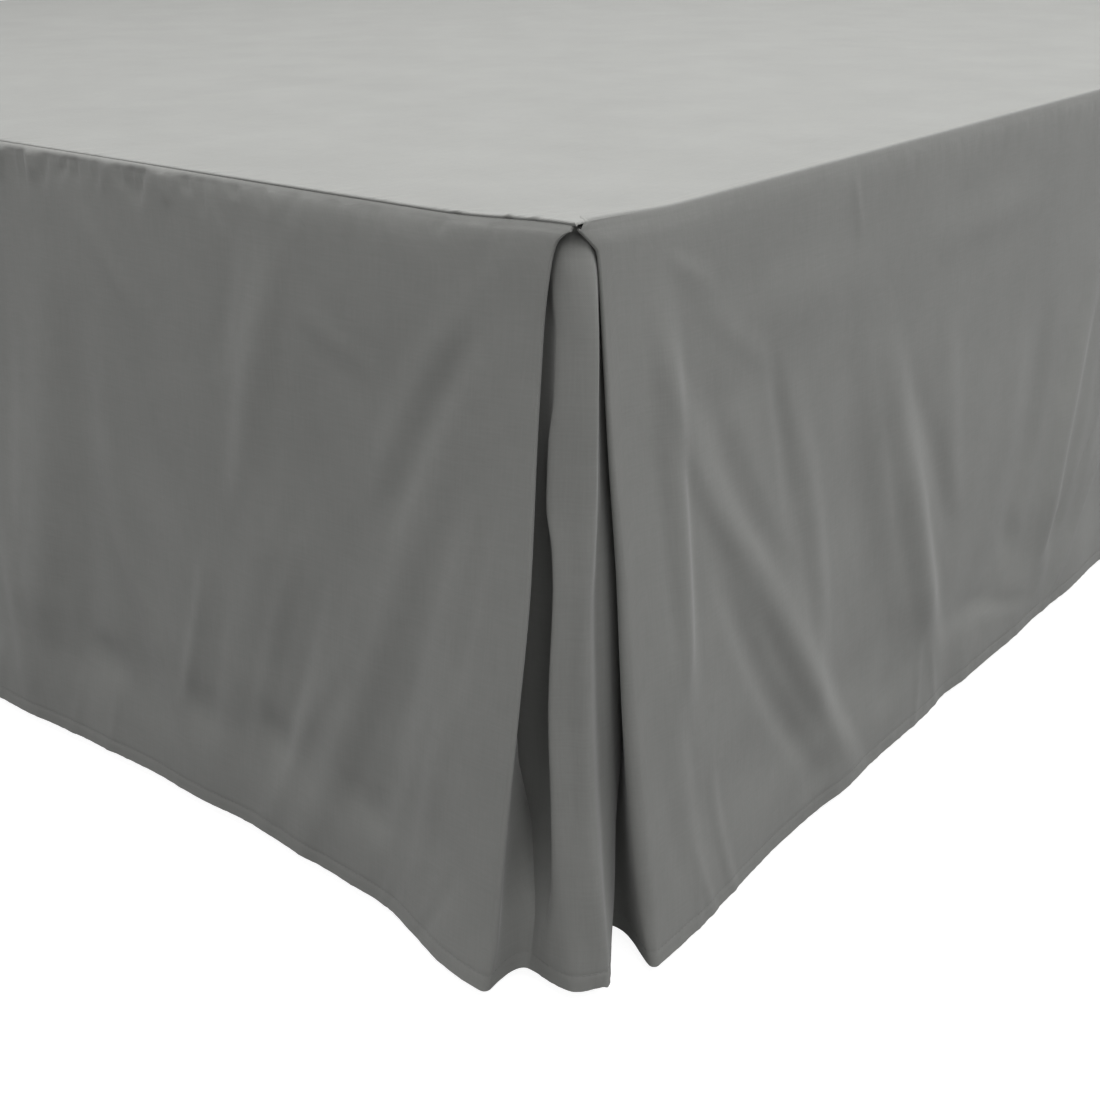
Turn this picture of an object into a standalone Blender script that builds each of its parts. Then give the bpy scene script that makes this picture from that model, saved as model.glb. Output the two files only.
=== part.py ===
"""A queen bed skirt on a plain box spring and its steel base.

The skirt is a flat deck panel with a drop on three sides, open at the head end, and an inverted
box pleat at each foot corner. Metres, +X to the right, +Y towards the head end, +Z up. The origin
is on the floor, below the middle of the whole outline. The tables below are in millimetres.
"""

import math
from collections import namedtuple

import bmesh
import bpy
from mathutils import Vector

MM = 0.001

# Driving sizes of the skirt
SKIRT_WIDTH = 1.524
SKIRT_LENGTH = 2.032
DROP = 0.381
HEM_CLEARANCE = 0.008
CLOTH = 1.2 * MM
SEAM_GAP = 0.3 * MM
DECK_RIM = 3.0 * MM
DECK_EDGE_RADIUS = 2.6 * MM
DECK_TOP = HEM_CLEARANCE + DROP
SEAM_HEIGHT = DECK_TOP - DECK_RIM - SEAM_GAP
SEAM_BAND = 2.5 * MM

# Driving sizes of the bed
SPRING_HEIGHT = 0.200
SPRING_INSET = 8.0 * MM
SPRING_HEAD_OVERRUN = 0.012
SPRING_EDGE_RADIUS = 0.012
FIT_GAP = 0.3 * MM
BEARER_WIDTH = 0.050
BEARER_HEIGHT = 0.020
BEARER_INSET = 0.030
BEARER_COUNT = 5
RAIL_WIDTH = 0.030
RAIL_HEIGHT = 0.040
RAIL_INSET = 0.075
LEG_WIDTH = 0.030
LEG_ROW_INSET = 0.090
GLIDE_RADIUS = 0.024
GLIDE_HEIGHT = 0.018
GLIDE_TAPER = 0.8
GLIDE_SIDES = 24
STEEL_EDGE = 0.003

# The drop stands away from the bed towards its hem by this much
FOOT_SWING = 18.8
LONG_SWING = 25.0
# A corner's flare dies away over this length of the drop
FLARE_REACH = 140.0
CORNER_REACH = 180.0
# The soft folds start this far from a corner's fold edge, and each is this much narrower at the seam
FOLD_CLEAR = 40.0
FOLD_SEAM_WIDTH = 0.55
FOLD_FADE = 0.2
# How far the return bends round to meet the underlay
RETURN_BEND = 0.6
CORNER_STEPS = 8
PANEL_STEP = 44.0
NOSE_STEPS = 5
RETURN_STEPS = 5
UNDERLAY_STEPS = 22

# Heights of the lofted rows, as shares of the drop below the seam
ROWS = (0.0, 0.022, 0.048, 0.12, 0.25, 0.42, 0.60, 0.78, 0.92, 1.0)

# One row for each height at a pleat: where the drop's fold edge lies, how round the fold is, how
# far the cloth turns there, and where the return meets the underlay at the hidden back fold.
Edge = namedtuple("Edge", "level along out radius turn back_along back_out")
FOOT_EDGE = (
    Edge(0.00, 5.0, 1.9, 1.7, 180, 52, -3.4),
    Edge(0.04, 11.0, 4.0, 1.7, 178, 56, -3.3),
    Edge(0.12, 14.2, 6.3, 1.8, 175, 56, -3.2),
    Edge(0.25, 15.0, 10.8, 2.0, 168, 54, -2.6),
    Edge(0.43, 13.8, 19.0, 2.4, 160, 53, -1.6),
    Edge(0.58, 15.3, 26.2, 2.8, 152, 52, -1.2),
    Edge(0.79, 18.9, 35.6, 3.6, 136, 50, 0.4),
    Edge(1.00, 22.2, 46.6, 5.0, 105, 48, 3.0),
)
LONG_EDGE = (
    Edge(0.00, 4.2, 0.6, 1.7, 180, 52, -3.4),
    Edge(0.04, 13.2, 2.3, 1.7, 178, 56, -3.3),
    Edge(0.13, 14.4, 5.0, 1.8, 175, 55, -3.2),
    Edge(0.25, 15.3, 8.4, 2.2, 170, 54, -2.8),
    Edge(0.44, 18.0, 14.5, 3.0, 160, 52, -2.4),
    Edge(0.62, 17.6, 20.5, 4.0, 148, 50, -4.0),
    Edge(0.83, 19.4, 27.9, 4.6, 130, 48, -6.0),
    Edge(1.00, 22.4, 34.2, 4.0, 112, 46, -9.0),
)

# One row for each height of the underlay: seven places across it, right and back from the corner
Tongue = namedtuple("Tongue", "level back_a flank_a shoulder_a front shoulder_b flank_b back_b")
UNDERLAY = (
    Tongue(0.00, (-53, 4.2), (-30, 4.2), (-12, 4.3), (-6.5, 6.2), (-4.4, 12), (-4.2, 30), (-4.2, 53)),
    Tongue(0.04, (-56, 4.3), (-22, 4.4), (-9, 3.6), (-2.8, 1.8), (-2.6, 7), (-4.7, 13), (-4.3, 56)),
    Tongue(0.11, (-56, 4.3), (-20, 4.0), (-9.5, -0.6), (-1, 0.8), (4.8, 6.4), (-3.2, 15), (-4.3, 55)),
    Tongue(0.20, (-55, 4.2), (-20, 3.4), (-11, -2.8), (-1, -1.4), (6.4, 5.4), (-1.9, 15), (-4.2, 54)),
    Tongue(0.45, (-53, 4.0), (-17, 2.6), (-8, -7.6), (1.2, -5), (7.4, 0.4), (2.2, 14), (-4.4, 52)),
    Tongue(0.85, (-50, 3.0), (-22, -6), (-5, -15.6), (8, -13.6), (17.6, -5), (6, 17), (-8.5, 49)),
    Tongue(1.00, (-48, 2.0), (-22, -14), (-5, -18.8), (11, -17.8), (20, -7), (8, 17), (-12, 47)),
)

# One row for each soft fold: its place along the drop at the seam and at the hem, half its width,
# how far it stands out there, negative for a trough, and the levels at which it starts and ends.
Fold = namedtuple("Fold", "top hem width depth start end")
FOOT_FOLDS = (
    Fold(60, 180, 34, 3.5, 0.10, 1.0),
    Fold(80, 140, 36, 6.0, 0.70, 1.0),
    Fold(120, 235, 40, -3.0, 0.25, 1.0),
    Fold(200, 212, 44, 2.5, 0.05, 0.7),
    Fold(385, 470, 85, 7.0, 0.05, 1.0),
    Fold(300, 330, 55, -3.0, 0.15, 1.0),
    Fold(590, 560, 60, -4.5, 0.10, 1.0),
    Fold(690, 665, 60, 5.0, 0.10, 1.0),
    Fold(800, 830, 70, -4.0, 0.20, 1.0),
    Fold(930, 905, 55, 5.5, 0.05, 1.0),
    Fold(1030, 1060, 60, -3.5, 0.15, 1.0),
    Fold(1150, 1115, 50, 4.5, 0.10, 1.0),
    Fold(1270, 1240, 55, -3.0, 0.20, 1.0),
    Fold(1430, 1350, 40, 4.0, 0.10, 1.0),
)
RIGHT_FOLDS = (
    Fold(60, 64, 24, 3.0, 0.05, 0.75),
    Fold(70, 235, 36, 4.0, 0.20, 1.0),
    Fold(215, 262, 62, -3.0, 0.35, 0.97),
    Fold(272, 362, 38, 3.2, 0.40, 0.97),
    Fold(440, 430, 75, -2.0, 0.20, 1.0),
    Fold(650, 512, 42, 2.8, 0.40, 0.97),
    Fold(745, 556, 40, 2.2, 0.45, 0.97),
    Fold(720, 660, 60, -4.0, 0.20, 1.0),
    Fold(830, 790, 60, 5.0, 0.10, 1.0),
    Fold(940, 960, 70, -4.0, 0.15, 1.0),
    Fold(1080, 1050, 60, 5.5, 0.05, 1.0),
    Fold(1190, 1215, 65, -3.5, 0.20, 1.0),
    Fold(1330, 1300, 60, 4.5, 0.10, 1.0),
    Fold(1450, 1475, 70, -4.0, 0.15, 1.0),
    Fold(1590, 1560, 60, 5.0, 0.10, 1.0),
    Fold(1720, 1745, 65, -3.5, 0.20, 1.0),
    Fold(1860, 1880, 60, 4.0, 0.10, 1.0),
)
LEFT_FOLDS = (
    Fold(70, 90, 30, 3.0, 0.05, 0.8),
    Fold(100, 210, 38, 4.5, 0.15, 1.0),
    Fold(250, 300, 60, -4.0, 0.15, 1.0),
    Fold(410, 390, 50, 5.0, 0.10, 1.0),
    Fold(520, 500, 60, -3.5, 0.20, 1.0),
    Fold(600, 640, 60, 5.5, 0.05, 1.0),
    Fold(760, 750, 65, -4.0, 0.15, 1.0),
    Fold(900, 870, 55, 4.5, 0.10, 1.0),
    Fold(1010, 1000, 65, -4.0, 0.20, 1.0),
    Fold(1110, 1140, 60, 5.0, 0.10, 1.0),
    Fold(1260, 1250, 65, -3.5, 0.15, 1.0),
    Fold(1400, 1370, 60, 5.0, 0.10, 1.0),
    Fold(1520, 1510, 70, -4.0, 0.15, 1.0),
    Fold(1650, 1670, 60, 4.5, 0.10, 1.0),
    Fold(1790, 1800, 60, -3.5, 0.20, 1.0),
    Fold(1900, 1930, 55, 3.5, 0.10, 1.0),
)

# The foot end's flare reaches further than the box spring's head end, so the skirt's middle lies
# this far behind the middle of the whole outline.
CENTRE_SHIFT = (max(row.out for row in FOOT_EDGE) * MM - SPRING_HEAD_OVERRUN) / 2
FOOT_SEAM = CENTRE_SHIFT - SKIRT_LENGTH / 2
HEAD_EDGE = CENTRE_SHIFT + SKIRT_LENGTH / 2
SPRING_TOP = DECK_TOP - CLOTH - FIT_GAP
SPRING_SIDE = SKIRT_WIDTH / 2 - SPRING_INSET
SPRING_FOOT = FOOT_SEAM + SPRING_INSET
SPRING_HEAD = HEAD_EDGE + SPRING_HEAD_OVERRUN


def clear_scene():
    for obj in list(bpy.data.objects):
        bpy.data.objects.remove(obj, do_unlink=True)


def new_material(name, colour, roughness, metallic=0.0):
    material = bpy.data.materials.new(name)
    material.use_nodes = True
    shader = material.node_tree.nodes["Principled BSDF"]
    shader.inputs["Base Color"].default_value = (*colour, 1.0)
    shader.inputs["Roughness"].default_value = roughness
    shader.inputs["Metallic"].default_value = metallic
    return material


def add_object(name, bm, material, collection):
    """Turns a bmesh into a named object at the world origin."""
    mesh = bpy.data.meshes.new(name)
    bm.to_mesh(mesh)
    bm.free()
    mesh.materials.append(material)
    obj = bpy.data.objects.new(name, mesh)
    collection.objects.link(obj)
    return obj


def add_bevel(obj, width, segments):
    bevel = obj.modifiers.new("rounded_edges", "BEVEL")
    bevel.width = width
    bevel.segments = segments
    bevel.limit_method = "ANGLE"


def add_thickness(obj, thickness):
    """Thickens an open surface on the side its normals point away from."""
    wall = obj.modifiers.new("cloth_thickness", "SOLIDIFY")
    wall.thickness = thickness
    wall.offset = -1.0
    wall.use_even_offset = True


def hermite(p0, p1, m0, m1, t):
    """The cubic from p0 to p1 with slopes m0 and m1, at t from 0 to 1."""
    a = (1 + 2 * t) * (1 - t) ** 2
    b = t * (1 - t) ** 2
    c = t * t * (3 - 2 * t)
    d = t * t * (t - 1)
    return a * p0 + b * m0 + c * p1 + d * m1


def slope_at(levels, values, i):
    """A slope at row i that never overshoots the rows on either side."""
    if i in (0, len(levels) - 1):
        j = min(i, len(levels) - 2)
        return (values[j + 1] - values[j]) / (levels[j + 1] - levels[j])
    before = (values[i] - values[i - 1]) / (levels[i] - levels[i - 1])
    after = (values[i + 1] - values[i]) / (levels[i + 1] - levels[i])
    if before * after <= 0:
        return 0.0
    return 2 * before * after / (before + after)


def between_rows(levels, values, level):
    """A smooth reading of one column of a table at any level."""
    i = 0
    while i < len(levels) - 2 and level > levels[i + 1]:
        i += 1
    step = levels[i + 1] - levels[i]
    start = slope_at(levels, values, i) * step
    stop = slope_at(levels, values, i + 1) * step
    return hermite(values[i], values[i + 1], start, stop, (level - levels[i]) / step)


def edge_at(rows, level):
    levels = [row.level for row in rows]
    columns = [between_rows(levels, [row[k] for row in rows], level) for k in range(1, len(rows[0]))]
    return Edge(level, *columns)


def hump(distance, half_width):
    """A soft bell of height 1 that ends at half_width."""
    if abs(distance) >= half_width:
        return 0.0
    return math.cos(math.pi * distance / (2 * half_width)) ** 2


def rise(value, start, stop):
    """Goes smoothly from 0 at start to 1 at stop."""
    share = min(max((value - start) / (stop - start), 0.0), 1.0)
    return share * share * (3 - 2 * share)


def fold_out(folds, along, level):
    """How far all the soft folds together push the drop out at one place."""
    total = 0.0
    for fold in folds:
        centre = fold.top + (fold.hem - fold.top) * level
        spread = fold.width * (FOLD_SEAM_WIDTH + (1 - FOLD_SEAM_WIDTH) * level)
        strength = rise(level, fold.start, 1.0) if fold.end >= 1.0 else (
            rise(level, fold.start, fold.start + FOLD_FADE)
            * (1 - rise(level, fold.end - FOLD_FADE, fold.end))
        )
        total += fold.depth * strength * hump(along - centre, spread)
    return total


def drop_out(side, along, level):
    """How far the drop's outer face stands out from the seam line."""
    edge = edge_at(side.edge, level)
    swing = side.swing * level
    out = swing
    free = 1.0
    for corner in side.corners:
        distance = abs(along - corner) - (edge.along + edge.radius)
        out += (edge.out - swing) * hump(max(distance, 0.0), FLARE_REACH)
        free *= rise(distance, 0.0, FOLD_CLEAR)
    return out + free * fold_out(side.folds, along, level)


def pleat_end(side, level):
    """The drop's folded end, from the hidden back fold round to the fold edge's front."""
    edge = edge_at(side.edge, level)
    nose = []
    for i in range(NOSE_STEPS + 1):
        angle = math.radians(edge.turn) * i / NOSE_STEPS
        along = edge.along + edge.radius * (1 - math.sin(angle))
        nose.append((along, edge.out - edge.radius * (1 - math.cos(angle))))
    turn = math.radians(edge.turn)
    start = Vector(nose[-1])
    stop = Vector((edge.back_along, edge.back_out))
    pull = (stop - start).length
    leave = Vector((-math.cos(turn), -math.sin(turn))) * pull
    arrive = (stop - start).lerp(Vector((pull, 0.0)), RETURN_BEND)
    back = []
    for i in range(1, RETURN_STEPS + 1):
        point = hermite(start, stop, leave, arrive, i / RETURN_STEPS)
        back.append((point.x, point.y))
    return list(reversed(nose + back))


def even_steps(start, stop, step):
    """Places from start to stop, both kept, at most a step apart."""
    count = max(1, math.ceil((stop - start) / step))
    return [start + (stop - start) * i / count for i in range(count + 1)]


def drop_section(side, level):
    """The drop's outer line at one level, as (along, out) from its foot corner."""
    edge = edge_at(side.edge, level)
    near = edge.along + edge.radius
    places = [near + (CORNER_REACH - near) * i / CORNER_STEPS for i in range(1, CORNER_STEPS)]
    if len(side.corners) == 2:
        middle = even_steps(CORNER_REACH, side.length - CORNER_REACH, PANEL_STEP)
        places += middle + [side.length - place for place in reversed(places)]
    else:
        places += even_steps(CORNER_REACH, side.length, PANEL_STEP)
    section = pleat_end(side, level)
    folded = [(side.length - along, out) for along, out in reversed(section)]
    section = section + [(along, drop_out(side, along, level)) for along in places]
    return section + folded if len(side.corners) == 2 else section


def smooth_line(points, count):
    """A Catmull-Rom line through the points, read at count + 1 even places."""
    ends = [points[0] * 2 - points[1]] + points + [points[-1] * 2 - points[-2]]
    line = []
    for i in range(count + 1):
        place = i * (len(points) - 1) / count
        k = min(int(place), len(points) - 2)
        before, start, stop, after = ends[k:k + 4]
        line.append(hermite(start, stop, (stop - before) / 2, (after - start) / 2, place - k))
    return line


def underlay_section(level):
    """The underlay's outer line at one level, right and back from the corner."""
    levels = [row.level for row in UNDERLAY]
    points = []
    for k in range(1, len(UNDERLAY[0])):
        x = between_rows(levels, [row[k][0] for row in UNDERLAY], level)
        y = between_rows(levels, [row[k][1] for row in UNDERLAY], level)
        points.append(Vector((x, y)))
    return smooth_line(points, UNDERLAY_STEPS)


def hung_rows(section, place):
    """Rows of points for a hanging sheet: an upright band at the seam, then one row a level."""
    top = SEAM_HEIGHT - SEAM_BAND
    rows = [[place(*point, SEAM_HEIGHT) for point in section(0.0)]]
    for level in ROWS:
        z = top + (HEM_CLEARANCE - top) * level
        rows.append([place(*point, z) for point in section(level)])
    return rows


def loft_cloth(name, rows, flip, material, collection):
    """Joins rows of points into one hanging sheet and gives it its thickness."""
    bm = bmesh.new()
    grid = [[bm.verts.new(point) for point in row] for row in rows]
    for upper, lower in zip(grid, grid[1:]):
        for i in range(len(upper) - 1):
            corners = (upper[i], lower[i], lower[i + 1], upper[i + 1])
            bm.faces.new(corners if not flip else tuple(reversed(corners)))
    for face in bm.faces:
        face.smooth = True
    obj = add_object(name, bm, material, collection)
    add_thickness(obj, CLOTH)
    return obj


Side = namedtuple("Side", "length swing edge folds corners")
FOOT = Side(SKIRT_WIDTH / MM, FOOT_SWING, FOOT_EDGE, FOOT_FOLDS, (0.0, SKIRT_WIDTH / MM))
RIGHT = Side(SKIRT_LENGTH / MM, LONG_SWING, LONG_EDGE, RIGHT_FOLDS, (0.0,))
LEFT = Side(SKIRT_LENGTH / MM, LONG_SWING, LONG_EDGE, LEFT_FOLDS, (0.0,))


def foot_place(along, out, z):
    return (SKIRT_WIDTH / 2 - along * MM, FOOT_SEAM - out * MM, z)


def right_place(along, out, z):
    return (SKIRT_WIDTH / 2 + out * MM, FOOT_SEAM + along * MM, z)


def left_place(along, out, z):
    x, y, z = right_place(along, out, z)
    return (-x, y, z)


def add_drop(name, side, place, flip, material, collection):
    rows = hung_rows(lambda level: drop_section(side, level), place)
    loft_cloth(name, rows, flip, material, collection)


def add_pleat(name, direction, material, collection):
    """The underlay of one foot corner; direction is 1 for the right one and -1 for the left."""

    def place(x, y, z):
        return (direction * (SKIRT_WIDTH / 2 + x * MM), FOOT_SEAM + y * MM, z)

    loft_cloth(name, hung_rows(underlay_section, place), direction < 0, material, collection)


def add_deck(material, collection):
    """The flat panel, with its rim turned down over the foot end and both long sides."""
    bm = bmesh.new()
    bmesh.ops.create_grid(bm, x_segments=1, y_segments=1, size=0.5)
    bmesh.ops.scale(bm, vec=(SKIRT_WIDTH, SKIRT_LENGTH, 1.0), verts=bm.verts)
    bmesh.ops.translate(bm, vec=(0.0, CENTRE_SHIFT, DECK_TOP), verts=bm.verts)
    rim = [edge for edge in bm.edges if min(vert.co.y for vert in edge.verts) < 0]
    lowered = bmesh.ops.extrude_edge_only(bm, edges=rim)["geom"]
    verts = [item for item in lowered if isinstance(item, bmesh.types.BMVert)]
    bmesh.ops.translate(bm, vec=(0.0, 0.0, -DECK_RIM), verts=verts)
    bmesh.ops.recalc_face_normals(bm, faces=bm.faces)
    if max(bm.faces, key=lambda face: face.calc_area()).normal.z < 0:
        bmesh.ops.reverse_faces(bm, faces=bm.faces)
    obj = add_object("deck_panel", bm, material, collection)
    add_bevel(obj, DECK_EDGE_RADIUS, 3)
    add_thickness(obj, CLOTH)


def add_box(name, low, high, edge, material, collection):
    """A box between two corners, with its edges rounded."""
    bm = bmesh.new()
    bmesh.ops.create_cube(bm, size=1.0)
    size = [b - a for a, b in zip(low, high)]
    middle = [(a + b) / 2 for a, b in zip(low, high)]
    bmesh.ops.scale(bm, vec=size, verts=bm.verts)
    bmesh.ops.translate(bm, vec=middle, verts=bm.verts)
    obj = add_object(name, bm, material, collection)
    add_bevel(obj, edge, 3 if edge > STEEL_EDGE else 1)


def add_box_spring(material, collection):
    low = (-SPRING_SIDE, SPRING_FOOT, SPRING_TOP - SPRING_HEIGHT)
    high = (SPRING_SIDE, SPRING_HEAD, SPRING_TOP)
    add_box("box_spring", low, high, SPRING_EDGE_RADIUS, material, collection)


def add_base(steel, plastic, collection):
    """Cross bearers on three long rails, each rail on three legs with glides."""
    bearer_top = SPRING_TOP - SPRING_HEIGHT - FIT_GAP
    rail_top = bearer_top - BEARER_HEIGHT - FIT_GAP
    leg_top = rail_top - RAIL_HEIGHT - FIT_GAP
    reach = SPRING_SIDE - BEARER_INSET
    first = SPRING_FOOT + LEG_ROW_INSET
    last = SPRING_HEAD - LEG_ROW_INSET
    for i in range(BEARER_COUNT):
        y = first + (last - first) * i / (BEARER_COUNT - 1)
        low = (-reach, y - BEARER_WIDTH / 2, bearer_top - BEARER_HEIGHT)
        high = (reach, y + BEARER_WIDTH / 2, bearer_top)
        add_box(f"bearer_{i + 1}", low, high, STEEL_EDGE, steel, collection)
    rail_x = SPRING_SIDE - RAIL_INSET
    for side, x in (("left", -rail_x), ("middle", 0.0), ("right", rail_x)):
        low = (x - RAIL_WIDTH / 2, SPRING_FOOT + BEARER_INSET, rail_top - RAIL_HEIGHT)
        high = (x + RAIL_WIDTH / 2, SPRING_HEAD - BEARER_INSET, rail_top)
        add_box(f"rail_{side}", low, high, STEEL_EDGE, steel, collection)
        for end, y in (("foot", first), ("centre", (first + last) / 2), ("head", last)):
            low = (x - LEG_WIDTH / 2, y - LEG_WIDTH / 2, GLIDE_HEIGHT + FIT_GAP)
            high = (x + LEG_WIDTH / 2, y + LEG_WIDTH / 2, leg_top)
            add_box(f"leg_{side}_{end}", low, high, STEEL_EDGE, steel, collection)
            add_glide(f"glide_{side}_{end}", x, y, plastic, collection)


def add_glide(name, x, y, material, collection):
    """A round plastic foot, narrower at the top."""
    bm = bmesh.new()
    bmesh.ops.create_cone(
        bm, cap_ends=True, segments=GLIDE_SIDES, radius1=GLIDE_RADIUS,
        radius2=GLIDE_RADIUS * GLIDE_TAPER, depth=GLIDE_HEIGHT,
    )
    bmesh.ops.translate(bm, vec=(x, y, GLIDE_HEIGHT / 2), verts=bm.verts)
    add_object(name, bm, material, collection)


def main():
    clear_scene()
    collection = bpy.data.collections.new("bed_skirt_on_base")
    bpy.context.scene.collection.children.link(collection)
    cloth = new_material("skirt_cloth", (0.200, 0.202, 0.192), 0.85)
    ticking = new_material("spring_ticking", (0.72, 0.70, 0.66), 0.9)
    steel = new_material("frame_steel", (0.06, 0.06, 0.065), 0.45, 0.6)
    plastic = new_material("glide_plastic", (0.03, 0.03, 0.03), 0.6)
    add_deck(cloth, collection)
    add_drop("drop_foot", FOOT, foot_place, True, cloth, collection)
    add_drop("drop_right", RIGHT, right_place, False, cloth, collection)
    add_drop("drop_left", LEFT, left_place, True, cloth, collection)
    add_pleat("pleat_right", 1, cloth, collection)
    add_pleat("pleat_left", -1, cloth, collection)
    add_box_spring(ticking, collection)
    add_base(steel, plastic, collection)


main()
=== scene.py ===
import math
from collections import namedtuple

import bpy
import numpy as np
from mathutils import Euler, Matrix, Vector
from mathutils.geometry import delaunay_2d_cdt


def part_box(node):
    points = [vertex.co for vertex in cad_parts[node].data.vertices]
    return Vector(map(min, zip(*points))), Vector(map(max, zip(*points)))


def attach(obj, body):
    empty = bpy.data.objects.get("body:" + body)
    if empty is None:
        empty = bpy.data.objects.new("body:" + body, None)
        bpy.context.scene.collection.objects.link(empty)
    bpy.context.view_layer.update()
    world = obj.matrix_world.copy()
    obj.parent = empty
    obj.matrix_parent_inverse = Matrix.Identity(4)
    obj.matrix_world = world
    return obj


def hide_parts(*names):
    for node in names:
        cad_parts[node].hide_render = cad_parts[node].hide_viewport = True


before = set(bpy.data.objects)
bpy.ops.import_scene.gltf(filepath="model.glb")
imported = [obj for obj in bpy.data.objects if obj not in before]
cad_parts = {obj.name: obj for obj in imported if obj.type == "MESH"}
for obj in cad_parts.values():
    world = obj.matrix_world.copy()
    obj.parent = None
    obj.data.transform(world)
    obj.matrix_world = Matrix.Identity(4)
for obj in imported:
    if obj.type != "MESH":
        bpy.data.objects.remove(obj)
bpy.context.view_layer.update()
print("frame: loaded")

# Cloth shapes are worked out in millimetres and turned into metres when a mesh is made
mm = 0.001
deckLow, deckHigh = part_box("deck_panel")
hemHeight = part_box("drop_foot")[0].z / mm

skirt = {
    "halfWidth": deckHigh.x / mm,
    "footSeam": deckLow.y / mm,
    "headEdge": deckHigh.y / mm,
    "deckTop": deckHigh.z / mm,
    "seamDepth": 3.3,  # the seams lie this far below the deck's top
    "cloth": 0.6,
    "hemDepth": 9.0,  # from the hem's edge up to its stitching
    "hemFold": 1.35,  # outer face to the face of the turned-in layer
    "cornerLift": 3.3,  # the bulk of the pleat lifts the seams at each foot corner
    "liftReach": 80.0,
}
seamHeight = skirt["deckTop"] - skirt["seamDepth"]
dropLength = seamHeight - hemHeight
skirtWidth = 2 * skirt["halfWidth"]
skirtLength = skirt["headEdge"] - skirt["footSeam"]


def hermite(p0, p1, m0, m1, t):
    return (
        (1 + 2 * t) * (1 - t) ** 2 * p0
        + t * (1 - t) ** 2 * m0
        + t * t * (3 - 2 * t) * p1
        + t * t * (t - 1) * m1
    )


def readColumn(places, values, at):
    # A smooth reading of one table column, which never overshoots its rows
    places = np.asarray(places, float)
    values = np.asarray(values, float)
    steps = np.diff(places)
    slopes = np.diff(values) / steps
    product = slopes[:-1] * slopes[1:]
    total = np.where(product > 0, slopes[:-1] + slopes[1:], 1.0)
    inner = np.where(product > 0, 2 * product / total, 0.0)
    ends = np.concatenate(([slopes[0]], inner, [slopes[-1]]))
    i = np.clip(np.searchsorted(places, at) - 1, 0, len(steps) - 1)
    t = (at - places[i]) / steps[i]
    return hermite(values[i], values[i + 1], ends[i] * steps[i], ends[i + 1] * steps[i], t)


def hump(distance, halfWidth):
    # A soft bell of height 1 that ends at halfWidth
    share = np.clip(np.abs(distance) / halfWidth, 0, 1)
    return np.cos(np.pi * share / 2) ** 2


def rise(value, start, stop):
    share = np.clip((value - start) / (stop - start), 0, 1)
    return share * share * (3 - 2 * share)


def cornerLift(distance):
    return skirt["cornerLift"] * hump(distance, skirt["liftReach"])


# Where each drop's folded edge lies at a corner pleat: its place along the drop and out from the
# seam, how round the fold is, how far the cloth turns there, and where its return meets the
# pleat's underlay, with the direction in which it arrives
Edge = namedtuple("Edge", "level along out radius turn backAlong backOut arrive", defaults=(0,))
footEdge = [Edge(*row) for row in (
    (0.000, 0.4, 0.6, 1.0, 180, 53, -4.2),
    (0.006, 5.2, 1.9, 1.0, 180, 53, -4.2),
    (0.02, 9.4, 3.0, 1.0, 179, 55, -4.3),
    (0.051, 11.6, 4.4, 1.0, 178, 56, -4.3),
    (0.121, 14.2, 6.3, 1.2, 176, 56, -4.3),
    (0.25, 15.0, 10.8, 1.4, 168, 54, -4.2),
    (0.435, 13.8, 19.0, 1.7, 160, 50, -4.4),
    (0.58, 15.3, 26.2, 1.9, 154, 48, -5.5, -10),
    (0.7, 17.2, 31.7, 2.0, 148, 44, -6.0, -30),
    (0.791, 18.9, 35.6, 2.2, 142, 34, -4.5, -70),
    (0.867, 19.8, 39.0, 2.6, 134, 25, 3.5, -130),
    (0.93, 20.4, 42.2, 3.2, 118, 17.5, 12.5, -165),
    (1.000, 22.2, 46.6, 3.6, 98, 16.5, 18.2, -184),
)]
longEdge = [Edge(*row) for row in (
    (0.000, 1.5, 0.0, 1.0, 180, 53, -4.2),
    (0.006, 4.0, 0.6, 1.0, 180, 53, -4.2),
    (0.019, 9.2, 1.6, 1.0, 179, 56, -4.3),
    (0.031, 13.0, 2.1, 1.0, 178, 56, -4.3),
    (0.057, 13.8, 2.9, 1.1, 178, 55, -4.3),
    (0.135, 14.4, 5.0, 1.3, 176, 55, -4.3),
    (0.254, 15.3, 8.4, 1.8, 170, 54, -4.2),
    (0.446, 18.0, 14.5, 3.0, 160, 52, -4.4),
    (0.619, 17.6, 20.5, 4.2, 148, 48, -5.0, -20),
    (0.743, 18.6, 24.8, 4.8, 138, 45, -6.0, -45),
    (0.83, 19.4, 27.9, 5.2, 130, 43, -7.0, -65),
    (0.919, 21.0, 31.0, 5.0, 122, 40, -6.5, -85),
    (1.000, 22.4, 34.2, 3.0, 114, 37, -5.0, -100),
)]

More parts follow.
